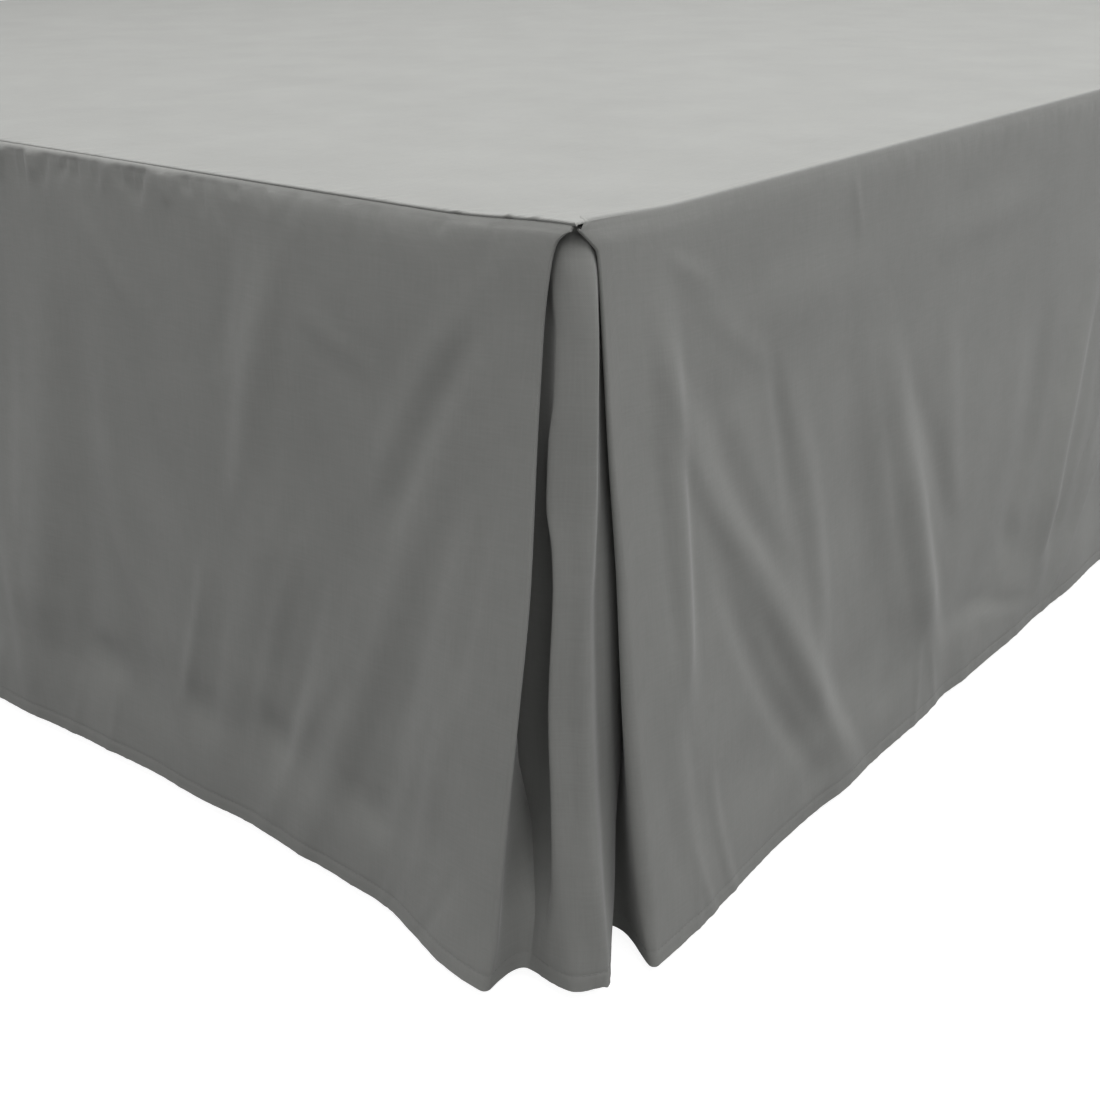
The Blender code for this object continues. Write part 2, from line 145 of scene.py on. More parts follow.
# The pleat's underlay between the two returns: places across it at each level, right of and
# behind the corner
Tongue = namedtuple("Tongue", "level flankA shoulderA front shoulderB heel flankB")
underlayRows = [Tongue(*row) for row in (
    (0.000, (-30, 4.3), (-13, 5.8), (-7.2, 8.8), (-5.6, 12), (-4.5, 17), (-4.2, 32)),
    (0.007, (-30, 4.2), (-12, 5.4), (-6.4, 8.2), (-4.0, 11.8), (-3.4, 16), (-4.2, 30)),
    (0.022, (-28, 4.2), (-12.3, 1.6), (-5.2, 2.8), (-0.8, 8.6), (-1.8, 14), (-4.3, 28)),
    (0.05, (-26, 4.2), (-12.2, 0.0), (-4.0, 0.6), (2.2, 8.4), (0.6, 14.0), (-4.2, 28)),
    (0.12, (-18, 2.0), (-9.0, -1.8), (-1.2, 0.8), (5.9, 7.4), (1.9, 13.0), (-3.2, 24)),
    (0.19, (-18, 1.5), (-9.2, -3.2), (-1.6, -0.8), (6.8, 6.0), (2.6, 12.4), (-1.5, 22)),
    (0.25, (-18, 1.2), (-12.0, -4.4), (-2.5, -1.6), (7.0, 4.8), (3.2, 12), (-1.0, 22)),
    (0.32, (-17, 1.6), (-12.2, -5.9), (-2.6, -2.8), (7.0, 3.6), (3.4, 12.0), (0.0, 22)),
    (0.38, (-13, 3.0), (-8.2, -7.0), (0.0, -3.6), (7.6, 2.1), (2.6, 12.4), (1.5, 22)),
    (0.44, (-11, 3.5), (-6.8, -8.4), (1.2, -4.6), (7.3, 0.4), (2.4, 12.0), (2.5, 22)),
    (0.58, (-10.5, 4.0), (-7.6, -11.2), (1.5, -7.0), (9.1, -1.5), (3.9, 11.6), (4.0, 23)),
    (0.72, (-8.5, 2.0), (-5.0, -13.8), (5.0, -9.4), (12.6, -3.3), (7.0, 10.4), (5.0, 24)),
    (0.79, (-8.5, -2.5), (-3.6, -15.3), (6.5, -11.6), (15.6, -4.4), (10.0, 8.4), (5.5, 24)),
    (0.867, (-9.5, -9.5), (-2.5, -16.6), (8.5, -13.8), (18.6, -5.2), (13.6, 6.2), (5.5, 25)),
    (0.943, (-10.0, -16.8), (-1.5, -18.4), (10.8, -16.0), (20.6, -5.2), (18.0, 3.8), (4.5, 26)),
    (1.000, (-11.0, -18.3), (-2.0, -19.3), (12.0, -18.0), (21.2, -6.8), (22.2, -0.8), (3.0, 26)),
)]

# Broad soft folds: place at the seam and at the hem, half width, depth (troughs are negative),
# and the levels between which the fold shows, down to the hem unless it says otherwise
Fold = namedtuple("Fold", "top hem width depth start end", defaults=(1.0,))
footFolds = [Fold(*row) for row in (
    (60, 180, 34, 3.5, 0.1),
    (80, 140, 36, 6.0, 0.7),
    (120, 235, 40, -3.0, 0.25),
    (200, 212, 44, 2.5, 0.05, 0.7),
    (385, 470, 85, 7.0, 0.05),
    (300, 330, 55, -3.0, 0.15),
    (590, 560, 60, -4.5, 0.1),
    (690, 665, 60, 5.0, 0.1),
    (800, 830, 70, -4.0, 0.2),
    (930, 905, 55, 5.5, 0.05),
    (1030, 1060, 60, -3.5, 0.15),
    (1150, 1115, 50, 4.5, 0.1),
    (1270, 1240, 55, -3.0, 0.2),
    (1430, 1350, 40, 4.0, 0.1),
)]
rightFolds = [Fold(*row) for row in (
    (60, 64, 24, 3.0, 0.05, 0.75),
    (70, 235, 36, 4.0, 0.2),
    (215, 262, 62, -3.0, 0.35, 0.97),
    (272, 362, 38, 3.2, 0.4, 0.97),
    (440, 430, 75, -2.0, 0.2),
    (650, 512, 42, 2.8, 0.4, 0.97),
    (745, 556, 40, 2.2, 0.45, 0.97),
    (720, 660, 60, -4.0, 0.2),
    (830, 790, 60, 5.0, 0.1),
    (940, 960, 70, -4.0, 0.15),
    (1080, 1050, 60, 5.5, 0.05),
    (1190, 1215, 65, -3.5, 0.2),
    (1330, 1300, 60, 4.5, 0.1),
    (1450, 1475, 70, -4.0, 0.15),
    (1590, 1560, 60, 5.0, 0.1),
    (1720, 1745, 65, -3.5, 0.2),
    (1860, 1880, 60, 4.0, 0.1),
)]
leftFolds = [Fold(*row) for row in (
    (70, 90, 30, 3.0, 0.05, 0.8),
    (100, 210, 38, 4.5, 0.15),
    (250, 300, 60, -4.0, 0.15),
    (410, 390, 50, 5.0, 0.1),
    (520, 500, 60, -3.5, 0.2),
    (600, 640, 60, 5.5, 0.05),
    (760, 750, 65, -4.0, 0.15),
    (900, 870, 55, 4.5, 0.1),
    (1010, 1000, 65, -4.0, 0.2),
    (1110, 1140, 60, 5.0, 0.1),
    (1260, 1250, 65, -3.5, 0.15),
    (1400, 1370, 60, 5.0, 0.1),
    (1520, 1510, 70, -4.0, 0.15),
    (1650, 1670, 60, 4.5, 0.1),
    (1790, 1800, 60, -3.5, 0.2),
    (1900, 1930, 55, 3.5, 0.1),
)]

# Narrower creases: the levels they run between, where they lie at the start, halfway and at the
# end, the half widths towards the corner and away from it, and the depth
Crease = namedtuple("Crease", "start stop top middle bottom near far depth")
footCreases = [Crease(*row) for row in (
    (0.1, 0.46, 46, 86, 116, 14, 20, -1.7),
    (0.03, 0.44, 36, 94, 126, 17, 20, 1.2),
    (0.16, 1.05, 60, 118, 190, 18, 20, 2.0),
    (0.26, 0.82, 52, 84, 124, 14, 16, -1.3),
    (0.28, 0.66, 38, 47, 62, 9, 10, -1.1),
    (0.48, 1.00, 68, 103, 140, 16, 18, -1.5),
    (0.55, 1.00, 54, 74, 90, 13, 13, 1.1),
    (0.02, 0.54, 180, 210, 237, 16, 18, 1.6),
    (0.00, 0.3, 212, 224, 238, 12, 13, -0.9),
    (0.1, 0.56, 180, 194, 206, 13, 13, -1.0),
    (0.42, 0.94, 168, 206, 230, 13, 13, 1.4),
    (0.44, 0.95, 150, 181, 214, 12, 12, -1.3),
    (0.58, 1.08, 138, 190, 232, 14, 18, 1.5),
    (0.52, 0.88, 256, 272, 296, 9, 10, 1.5),
    (0.55, 0.9, 240, 253, 270, 12, 12, -0.9),
    (0.56, 0.95, 344, 312, 290, 13, 13, 1.1),
    (0.52, 0.92, 360, 336, 312, 12, 12, -0.9),
    (0.03, 0.24, 362, 332, 290, 18, 18, 0.6),
    (0.1, 0.84, 332, 340, 304, 16, 20, 0.6),
    (0.02, 1.05, 391, 406, 460, 26, 29, 2.0),
    (0.16, 1.00, 372, 368, 402, 34, 22, -2.0),
    (0.52, 1.06, 464, 454, 446, 16, 16, 1.4),
    (0.1, 0.9, 430, 446, 476, 16, 18, -1.0),
    (0.83, 1.04, 46, 64, 92, 7, 8, -1.2),
    (0.9, 1.06, 102, 112, 126, 6, 7, 0.9),
    (0.84, 1.08, 350, 364, 380, 7, 8, 1.0),
    (0.84, 1.08, 388, 402, 420, 7, 7, 1.1),
    (0.84, 1.08, 472, 486, 500, 7, 8, 1.0),
)]
rightCreases = [Crease(*row) for row in (
    (0.06, 0.56, 54, 79, 150, 16, 18, 1.6),
    (0.36, 1.08, 92, 184, 276, 18, 23, 2.4),
    (0.16, 0.62, 84, 122, 186, 16, 21, -1.5),
    (0.38, 1.02, 90, 142, 236, 18, 17, -1.9),
    (0.24, 0.66, 62, 66, 62, 11, 11, 1.8),
    (0.26, 0.6, 50, 53, 56, 7, 7, -1.1),
    (0.38, 1.05, 42, 52, 82, 18, 16, 1.7),
    (0.74, 1.06, 87, 93, 113, 8, 8, 1.3),
    (0.82, 1.06, 60, 72, 93, 6, 7, 0.8),
    (0.86, 1.1, 64, 64, 62, 3, 6, 0.6),
    (0.2, 0.8, 160, 198, 212, 16, 18, 1.5),
    (0.18, 0.52, 150, 165, 178, 12, 12, -1.1),
    (0.2, 0.98, 278, 323, 372, 24, 24, 2.7),
    (0.18, 0.98, 232, 270, 318, 34, 26, -2.0),
    (0.3, 0.76, 306, 354, 388, 18, 21, -1.2),
    (0.82, 1.06, 338, 334, 328, 6, 7, 1.1),
    (0.84, 1.06, 350, 360, 375, 6, 7, 1.0),
    (0.24, 0.66, 360, 371, 385, 21, 21, 1.1),
    (0.22, 1.04, 640, 566, 534, 24, 22, 3.6),
    (0.24, 0.92, 518, 500, 440, 38, 28, -2.2),
    (0.38, 0.92, 652, 624, 576, 21, 21, -1.7),
    (0.62, 1.08, 706, 612, 520, 13, 14, 2.0),
    (0.58, 0.96, 690, 588, 510, 13, 13, -1.3),
    (0.08, 0.26, 84, 114, 170, 18, 21, 0.6),
    (0.00, 0.12, 238, 242, 250, 6, 6, 0.7),
)]
leftCreases = [Crease(*row) for row in (
    (0.1, 0.6, 58, 84, 112, 12, 15, -1.8),
    (0.3, 1.1, 84, 120, 190, 18, 22, 2.4),
    (0.25, 0.95, 300, 318, 352, 20, 18, 1.8),
    (0.15, 0.7, 560, 540, 530, 15, 18, -1.5),
    (0.45, 1.08, 640, 690, 720, 15, 20, 2.0),
)]

# Shallow patches: place, level, half width, half height as a level, slant and depth
Dent = namedtuple("Dent", "along level wide tall slant depth")
footDents = [Dent(*row) for row in (
    (272, 0.83, 24, 0.06, 60, -1.6),
    (206, 0.82, 24, 0.06, 90, -1.9),
    (126, 0.86, 26, 0.06, 120, -1.9),
    (250, 0.3, 99, 0.16, 0, 0.9),
    (120, 0.14, 66, 0.09, 0, 0.7),
    (362, 0.82, 26, 0.06, 0, -2.2),
    (145, 0.18, 16, 0.05, 766, 0.8),
)]
rightDents = [Dent(*row) for row in (
    (200, 0.93, 29, 0.05, 160, -2.2),
    (292, 0.89, 24, 0.05, 90, -1.8),
    (420, 0.86, 66, 0.04, -300, -1.8),
    (480, 0.78, 22, 0.08, -60, -1.4),
    (190, 0.16, 99, 0.08, 0, 1.1),
    (420, 0.15, 132, 0.06, 0, 0.9),
    (120, 0.26, 37, 0.05, 0, -0.7),
    (470, 0.9, 30, 0.06, -1000, -2.2),
    (84, 0.08, 14, 0.04, -600, 0.9),
    (382, 1.0, 34, 0.14, 0, -4.5),
    (545, 1.0, 60, 0.14, 0, -3.2),
)]
leftDents = [Dent(*row) for row in (
    (240, 0.85, 29, 0.06, 90, -1.6),
    (460, 0.86, 44, 0.06, 0, -1.6),
    (800, 0.84, 44, 0.07, 0, -1.4),
)]


soft = {
    "foldSeam": 0.55,  # a fold's width at the seam, as a share of its width at the hem
    "foldFade": 0.2,  # a fold that ends early fades in and out over this share of the drop
    "creaseIn": 0.35,  # a crease reaches its depth over this share of its length
    "creaseOut": 0.7,  # and dies away from here on
    "clear": 40.0,  # folds come in over this length beside a folded edge
    "cornerNear": 150.0,  # a seam counts as near its corner up to here
    "cornerPast": 330.0,  # and not at all from here on
    "liftFade": 140.0,  # the corner's lift dies away this far below the seam
    "stitchDip": 0.22,  # how deep the hem's stitching sinks
    "stitchWide": 1.6,
}


def foldHeight(folds, along, level):
    total = np.zeros(along.shape)
    for fold in folds:
        centre = fold.top + (fold.hem - fold.top) * level
        spread = fold.width * (soft["foldSeam"] + (1 - soft["foldSeam"]) * level)
        if fold.end >= 1.0:
            strength = rise(level, fold.start, 1.0)
        else:
            strength = rise(level, fold.start, fold.start + soft["foldFade"])
            strength = strength * (1 - rise(level, fold.end - soft["foldFade"], fold.end))
        total += fold.depth * strength * hump(along - centre, spread)
    return total


def creaseHeight(creases, along, level):
    total = np.zeros(along.shape)
    for crease in creases:
        s = (level - crease.start) / (crease.stop - crease.start)
        centre = crease.top * (1 - s) * (1 - 2 * s) + crease.middle * 4 * s * (1 - s)
        centre = centre + crease.bottom * s * (2 * s - 1)
        aside = along - centre
        strength = rise(s, 0.0, soft["creaseIn"]) * (1 - rise(s, soft["creaseOut"], 1.0))
        total += crease.depth * strength * hump(aside, np.where(aside < 0, crease.near, crease.far))
    return total


def dentHeight(dents, along, level):
    total = np.zeros(along.shape)
    for dent in dents:
        rows = (level - dent.level) / dent.tall
        columns = (along - dent.along + dent.slant * (level - dent.level)) / dent.wide
        total += dent.depth * hump(np.hypot(rows, columns), 1.0)
    return total


def puckers(seed, length, pitch, halfWidth, reach, depth, along, away, flat=0.0):
    # Small irregular gathers beside a line of stitching; away is the distance from that line
    rng = np.random.default_rng(seed)
    total = np.zeros(along.shape)
    place = 0.0
    while place < length:
        place += rng.uniform(*pitch)
        half = rng.uniform(*halfWidth)
        tall = rng.uniform(*reach)
        lean = rng.uniform(-0.5, 0.5)
        strength = rng.uniform(*depth) * rng.choice((1.0, 1.0, -0.8))
        fade = 1 - rise(away, flat * tall, tall)
        total += strength * hump(along - place - lean * away, half) * fade
    return total


def unevenness(seed, length, along, level):
    # Broad shallow swells, a fraction of a millimetre high
    rng = np.random.default_rng(seed)
    total = np.zeros(along.shape)
    for i in range(int(length / 22)):
        place = rng.uniform(0, length)
        height = rng.uniform(0, 1)
        wide = rng.uniform(16, 46)
        tall = rng.uniform(0.12, 0.4)
        slant = rng.uniform(-60, 60)
        depth = rng.uniform(-0.45, 0.45)
        columns = (along - place + slant * (level - height)) / wide
        total += depth * hump(np.hypot(columns, (level - height) / tall), 1.0)
    return total


Side = namedtuple("Side", "length swing reach edge folds creases dents corners seed fineTo rolled")
swing = {"foot": 18.8, "long": 25.0}
flareReach = {"foot": 120.0, "long": 150.0}
footSide = Side(
    skirtWidth, swing["foot"], flareReach["foot"], footEdge, footFolds, footCreases, footDents,
    (0.0, skirtWidth), 11, 620, False,
)
rightSide = Side(
    skirtLength, swing["long"], flareReach["long"], longEdge, rightFolds, rightCreases, rightDents,
    (0.0,), 23, 700, True,
)
leftSide = Side(
    skirtLength, swing["long"], flareReach["long"], longEdge, leftFolds, leftCreases, leftDents,
    (0.0,), 37, 180, True,
)


grid = {
    "returnSteps": 14,
    "noseSteps": 9,
    "cornerReach": 180.0,
    "cornerSteps": 60,
    "fineStep": 3.2,
    "wideStep": 7.5,
    "rowStep": 6.0,
    "headRows": 16,
    "underlaySteps": 84,
}


def downRows():
    # Heights of the rows, as millimetres below the seam: close together at the seam and the hem
    upper = [0.8, 1.6, 2.5, 3.5, 4.6, 5.8, 7.2, 8.8, 10.6, 12.6, 15.0, 18.0, 21.5, 25.5, 30.0]
    aboveHem = [25.5, 22, 19, 16.5, 14.5, 12.6, 11.0, 9.8, 9.0, 8.2, 7.0, 5.5, 4.0, 2.5, 1.2, 0.4, 0.0]
    lower = [dropLength - height for height in aboveHem]
    count = round((lower[0] - upper[-1]) / grid["rowStep"])
    middle = [upper[-1] + (lower[0] - upper[-1]) * i / count for i in range(1, count)]
    return np.array(upper + middle + lower)


def edgeAt(rows, level):
    places = [row.level for row in rows]
    return Edge(level, *[readColumn(places, [row[k] for row in rows], level) for k in range(1, 8)])


def pleatLine(edge):
    # From the seam with the underlay round to the front of the folded edge
    turn = math.radians(float(edge.turn))
    angles = turn * np.arange(grid["noseSteps"], -1, -1) / grid["noseSteps"]
    nose = np.stack([
        edge.along + edge.radius * (1 - np.sin(angles)),
        edge.out - edge.radius * (1 - np.cos(angles)),
    ], axis=1)
    start = nose[0]
    stop = np.array([edge.backAlong, edge.backOut])
    pull = np.linalg.norm(stop - start)
    leave = np.array([-math.cos(turn), -math.sin(turn)]) * pull
    heading = math.radians(float(edge.arrive))
    arrive = np.array([math.cos(heading), math.sin(heading)]) * pull
    t = (np.arange(grid["returnSteps"], 0, -1) / grid["returnSteps"])[:, None]
    return np.concatenate([hermite(start, stop, leave, arrive, t), nose])


def panelPlaces(side, edge):
    # Places along the flat of the drop, following the flared edge near each corner
    near = edge.along + edge.radius
    shares = np.arange(1, grid["cornerSteps"]) / grid["cornerSteps"]
    corner = near + (grid["cornerReach"] - near) * shares
    last = side.length - grid["cornerReach"] if len(side.corners) == 2 else side.length
    fineStop = max(side.fineTo, grid["cornerReach"])
    fine = np.arange(grid["cornerReach"], fineStop, grid["fineStep"])
    wide = np.linspace(fineStop, last, math.ceil((last - fineStop) / grid["wideStep"]) + 1)
    if len(side.corners) == 2:
        return np.concatenate([corner, fine, wide, side.length - corner[::-1]])
    return np.concatenate([corner, fine, wide])


def nearCorner(side, along):
    return 1 - rise(np.minimum(along, side.length - along), soft["cornerNear"], soft["cornerPast"])


def footLow(side, along):
    # How far the foot drop's top edge lies below the deck
    return rim["farLow"] + (rim["nearLow"] - rim["farLow"]) * nearCorner(side, along)


def rimRoll(depth):
    # How far the long drops stand out, depth below the place where they leave the rounded rim
    return rim["longRoll"] * (1 - np.exp(-depth / rim["longReach"]))


def rollOut(side, along, down):
    # How far the cloth stands out below its seam: in a wide roll near the foot corners
    if side.rolled:
        roll = rimRoll(down + rimLeave - seamHeight)
    else:
        below = down + skirt["seamDepth"] - footLow(side, along)
        corner = nearCorner(side, along)
        wide = rim["softRoll"] * (1 - np.exp(-below / 6.0))
        roll = corner * wide + (1 - corner) * rim["tightRoll"] * (1 - np.exp(-below / 1.3))
    return roll * (1 - 0.6 * rise(down, 30.0, 150.0))


def panelOut(side, edge, along, level):
    hang = side.swing * level + rollOut(side, along, level * dropLength)
    out = hang.copy()
    free = np.ones(along.shape)
    for corner in side.corners:
        distance = np.abs(along - corner) - (edge.along + edge.radius)
        out += (edge.out - hang) * hump(np.maximum(distance, 0.0), side.reach)
        free *= rise(distance, 0.0, soft["clear"])
    return out, free


def dropLines(side, levels):
    # The outer face of one drop as (along, out) at each level, and how freely it may ripple
    alongs, outs, frees = [], [], []
    for level in levels:
        edge = edgeAt(side.edge, level)
        pleat = pleatLine(edge)
        along = panelPlaces(side, edge)
        out, free = panelOut(side, edge, along, level)
        parts = [(pleat[:, 0], pleat[:, 1], np.zeros(len(pleat))), (along, out, free)]
        if len(side.corners) == 2:
            parts.append((side.length - pleat[::-1, 0], pleat[::-1, 1], np.zeros(len(pleat))))
        alongs.append(np.concatenate([part[0] for part in parts]))
        outs.append(np.concatenate([part[1] for part in parts]))
        frees.append(np.concatenate([part[2] for part in parts]))
    return np.array(alongs), np.array(outs), np.array(frees)


def gridNormals(points):
    down = np.gradient(points, axis=0)
    across = np.gradient(points, axis=1)
    normals = np.cross(down, across)
    return normals / np.maximum(np.linalg.norm(normals, axis=2, keepdims=True), 1e-9)


def clothCoordinates(points):
    # Distances over the cloth in metres, across and down, for its weave
    across = np.linalg.norm(np.diff(points, axis=1), axis=2).cumsum(axis=1)
    across = np.pad(across, ((0, 0), (1, 0)))
    middle = points.shape[1] // 2
    across -= across[:, middle:middle + 1] - across[:, middle].mean()
    down = np.linalg.norm(np.diff(points, axis=0), axis=2).cumsum(axis=0)
    down = np.pad(down, ((1, 0), (0, 0)))
    return np.stack([across, down], axis=2) * mm


def hemDip(down):
    # The groove that the hem's stitching presses into the cloth
    return soft["stitchDip"] * hump(dropLength - down - skirt["hemDepth"], soft["stitchWide"])


def hemRow(points, normals, downs, name, thread):
    # The stitches along the row of points where the hem is sewn
    row = int(np.argmin(np.abs(dropLength - downs - skirt["hemDepth"])))
    return stitchLine(name + "HemStitches", points[row], normals[row], hemThread, thread)


def turnHem(points, normals):
    # Folds the lowest rows inwards and up, as a narrow double hem
    inner = [0, 2, 4, 6, 8, 10]
    depth = skirt["hemFold"]
    fold = points[-1] - normals[-1] * depth / 2
    fold[:, 2] -= depth * 0.3
    rows = [fold] + [points[-1 - k] - normals[-1 - k] * depth for k in inner]
    return np.concatenate([points, np.array(rows)])


def clothFromGrid(name, points, flip, material):
    # Joins rows of points into a sheet, gives it its thickness and its own UV map
    rows, columns = points.shape[:2]
    uv = clothCoordinates(points).reshape(-1, 2)
    first = (np.arange(rows - 1)[:, None] * columns + np.arange(columns - 1)[None, :]).ravel()
    faces = np.stack([first, first + columns, first + columns + 1, first + 1], axis=1)
    if flip:
        faces = faces[:, ::-1]
    return clothFromFaces(name, points.reshape(-1, 3), faces, uv, material)


def addObject(name, data):
    piece = bpy.data.objects.new(name, data)
    bpy.context.scene.collection.objects.link(piece)
    return piece


def clothFromFaces(name, points, faces, uv, material):
    mesh = bpy.data.meshes.new(name)
    mesh.from_pydata((points * mm).tolist(), [], faces.tolist())
    layer = mesh.uv_layers.new(name="weave")
    corners = np.zeros(len(mesh.loops), np.int32)
    mesh.loops.foreach_get("vertex_index", corners)
    layer.data.foreach_set("uv", uv[corners].astype(np.float32).ravel())
    mesh.materials.append(material)
    piece = addObject(name, mesh)
    bpy.ops.object.select_all(action="DESELECT")
    piece.select_set(True)
    bpy.context.view_layer.objects.active = piece
    wall = piece.modifiers.new("thickness", "SOLIDIFY")
    wall.thickness = skirt["cloth"] * mm
    wall.offset = -1.0
    wall.use_even_offset = False
    bpy.ops.object.modifier_apply(modifier=wall.name)
    bpy.ops.object.shade_smooth_by_angle(angle=math.radians(50))
    return piece


def stitchLine(name, path, facing, thread, material):
    # A row of short rounded stitches along a path, lying on the cloth
    steps = np.linalg.norm(np.diff(path, axis=0), axis=1)
    reach = np.concatenate([[0.0], steps.cumsum()])
    places = np.arange(thread["pitch"], reach[-1] - thread["pitch"], thread["pitch"])

    def read(values, at):
        return np.stack([np.interp(at, reach, values[:, k]) for k in range(3)], axis=1)

    centres = read(path, places)
    forward = read(path, places + 0.5) - read(path, places - 0.5)
    forward /= np.linalg.norm(forward, axis=1, keepdims=True)
    up = read(facing, places)
    up -= forward * (up * forward).sum(axis=1, keepdims=True)
    up /= np.linalg.norm(up, axis=1, keepdims=True)
    across = np.cross(up, forward)
    half = thread["length"] / 2
    radius = thread["radius"]
    outline = [(-half, 0, -0.6), *[
        (x, math.cos(math.radians(60 * i)), math.sin(math.radians(60 * i)))
        for x in (-half * 0.55, half * 0.55) for i in range(6)
    ], (half, 0, -0.6)]
    rings = [[1 + i for i in range(6)], [7 + i for i in range(6)]]
    shape = [(0, rings[0][(i + 1) % 6], rings[0][i]) for i in range(6)]
    shape += [(rings[0][i], rings[0][(i + 1) % 6], rings[1][(i + 1) % 6], rings[1][i]) for i in range(6)]
    shape += [(13, rings[1][i], rings[1][(i + 1) % 6]) for i in range(6)]
    corners = []
    for x, y, z in outline:
        corners.append(centres + forward * x + across * y * radius + up * (z * radius + thread["sink"]))
    points = np.stack(corners, axis=1).reshape(-1, 3)
    faces = [tuple(14 * n + k for k in face) for n in range(len(places)) for face in shape]
    mesh = bpy.data.meshes.new(name)
    mesh.from_pydata((points * mm).tolist(), [], faces)
    mesh.materials.append(material)
    mesh.shade_smooth()
    piece = addObject(name, mesh)
    return piece


rim = {
    "radius": 1.1,  # roll of the deck over the long edges
    "footRadius": 0.9,
    "lift": 0.4,  # the long drops' tops lie on the deck's rolled rim
    "over": 6.0,  # and reach this far onto its flat
    "longRoll": 1.8,  # below it they stand out in a soft roll
    "longReach": 5.0,
    "rolledFrom": 2.0,  # they climb onto the rim between these places from the corner
    "rolledBy": 13.0,
    "nearLow": 1.45,  # the foot drop's top edge lies this far below the deck near its corners
    "farLow": 0.9,  # and between them
    "softRoll": 4.2,  # it leaves its seam in a wide roll near the corners
    "tightRoll": 2.5,  # and in a narrow one between them
}
gatherDepth = 4.5  # the foot drop's gathers reach their full depth this far below its seam
firstDown = 0.8
firstHeight = seamHeight - firstDown
rimAngle = math.atan(rim["longRoll"] / rim["longReach"])
rimReach = rim["radius"] + rim["lift"]
rimLeave = skirt["deckTop"] - rim["radius"] + rimReach * math.sin(rimAngle)


def rolledHead(along, base, rolled):
    # Rows above the first one of a long drop, over the deck's rounded rim
    straight = rimLeave - firstHeight
    arc = rimReach * (math.pi / 2 - rimAngle)
    reach = firstDown + (straight + arc + rim["over"] - firstDown) * rolled
    rows = []
    for k in range(grid["headRows"], 0, -1):
        path = reach * (k / grid["headRows"]) ** 1.3
        low = np.minimum(path, straight)
        angle = rimAngle + np.clip(path - straight, 0.0, arc) / rimReach
        flat = np.maximum(path - straight - arc, 0.0)
        tucked = 0.8 * rim["lift"] * rolled * (k == grid["headRows"])
        out = base + (rimRoll(straight - low) - rimRoll(straight)) * rolled
        out = out + rimReach * (np.cos(angle) - math.cos(rimAngle)) - flat
        height = firstHeight + low + rimReach * (np.sin(angle) - math.sin(rimAngle)) - tucked
        rows.append((along, out, height))
    return rows


def seamedHead(side, along, base, shown, gathers):
    # Rows above the first one of the foot drop, up to its seam and down into the seam's groove
    low = footLow(side, along)
    top = skirt["deckTop"] - low
    under = (top - firstHeight) * shown + firstDown * (1 - shown)
    start = rollOut(side, along, firstDown)
    rows = []
    for out, drop in ((-1.5, 1.6), (-1.4, 0.9), (-1.1, 0.35), (-0.55, 0.05)):
        rows.append((along, base + (out - start) * shown, firstHeight + under - drop * shown))
    for share in (0.0, 0.05, 0.12, 0.22, 0.36, 0.52, 0.68, 0.84):
        lower = firstDown - (skirt["seamDepth"] - low + firstDown) * (1 - share)
        gathered = gathers * rise(lower + skirt["seamDepth"] - low, 0.0, gatherDepth)
        out = (rollOut(side, along, lower) - start + gathered) * shown
        rows.append((along, base + out, firstHeight + under * (1 - share)))
    return rows


def placeFoot(along, out, height):
    return skirt["halfWidth"] - along, skirt["footSeam"] - out, height


def placeRight(along, out, height):
    return skirt["halfWidth"] + out, skirt["footSeam"] + along, height


def placeLeft(along, out, height):
    return -skirt["halfWidth"] - out, skirt["footSeam"] + along, height


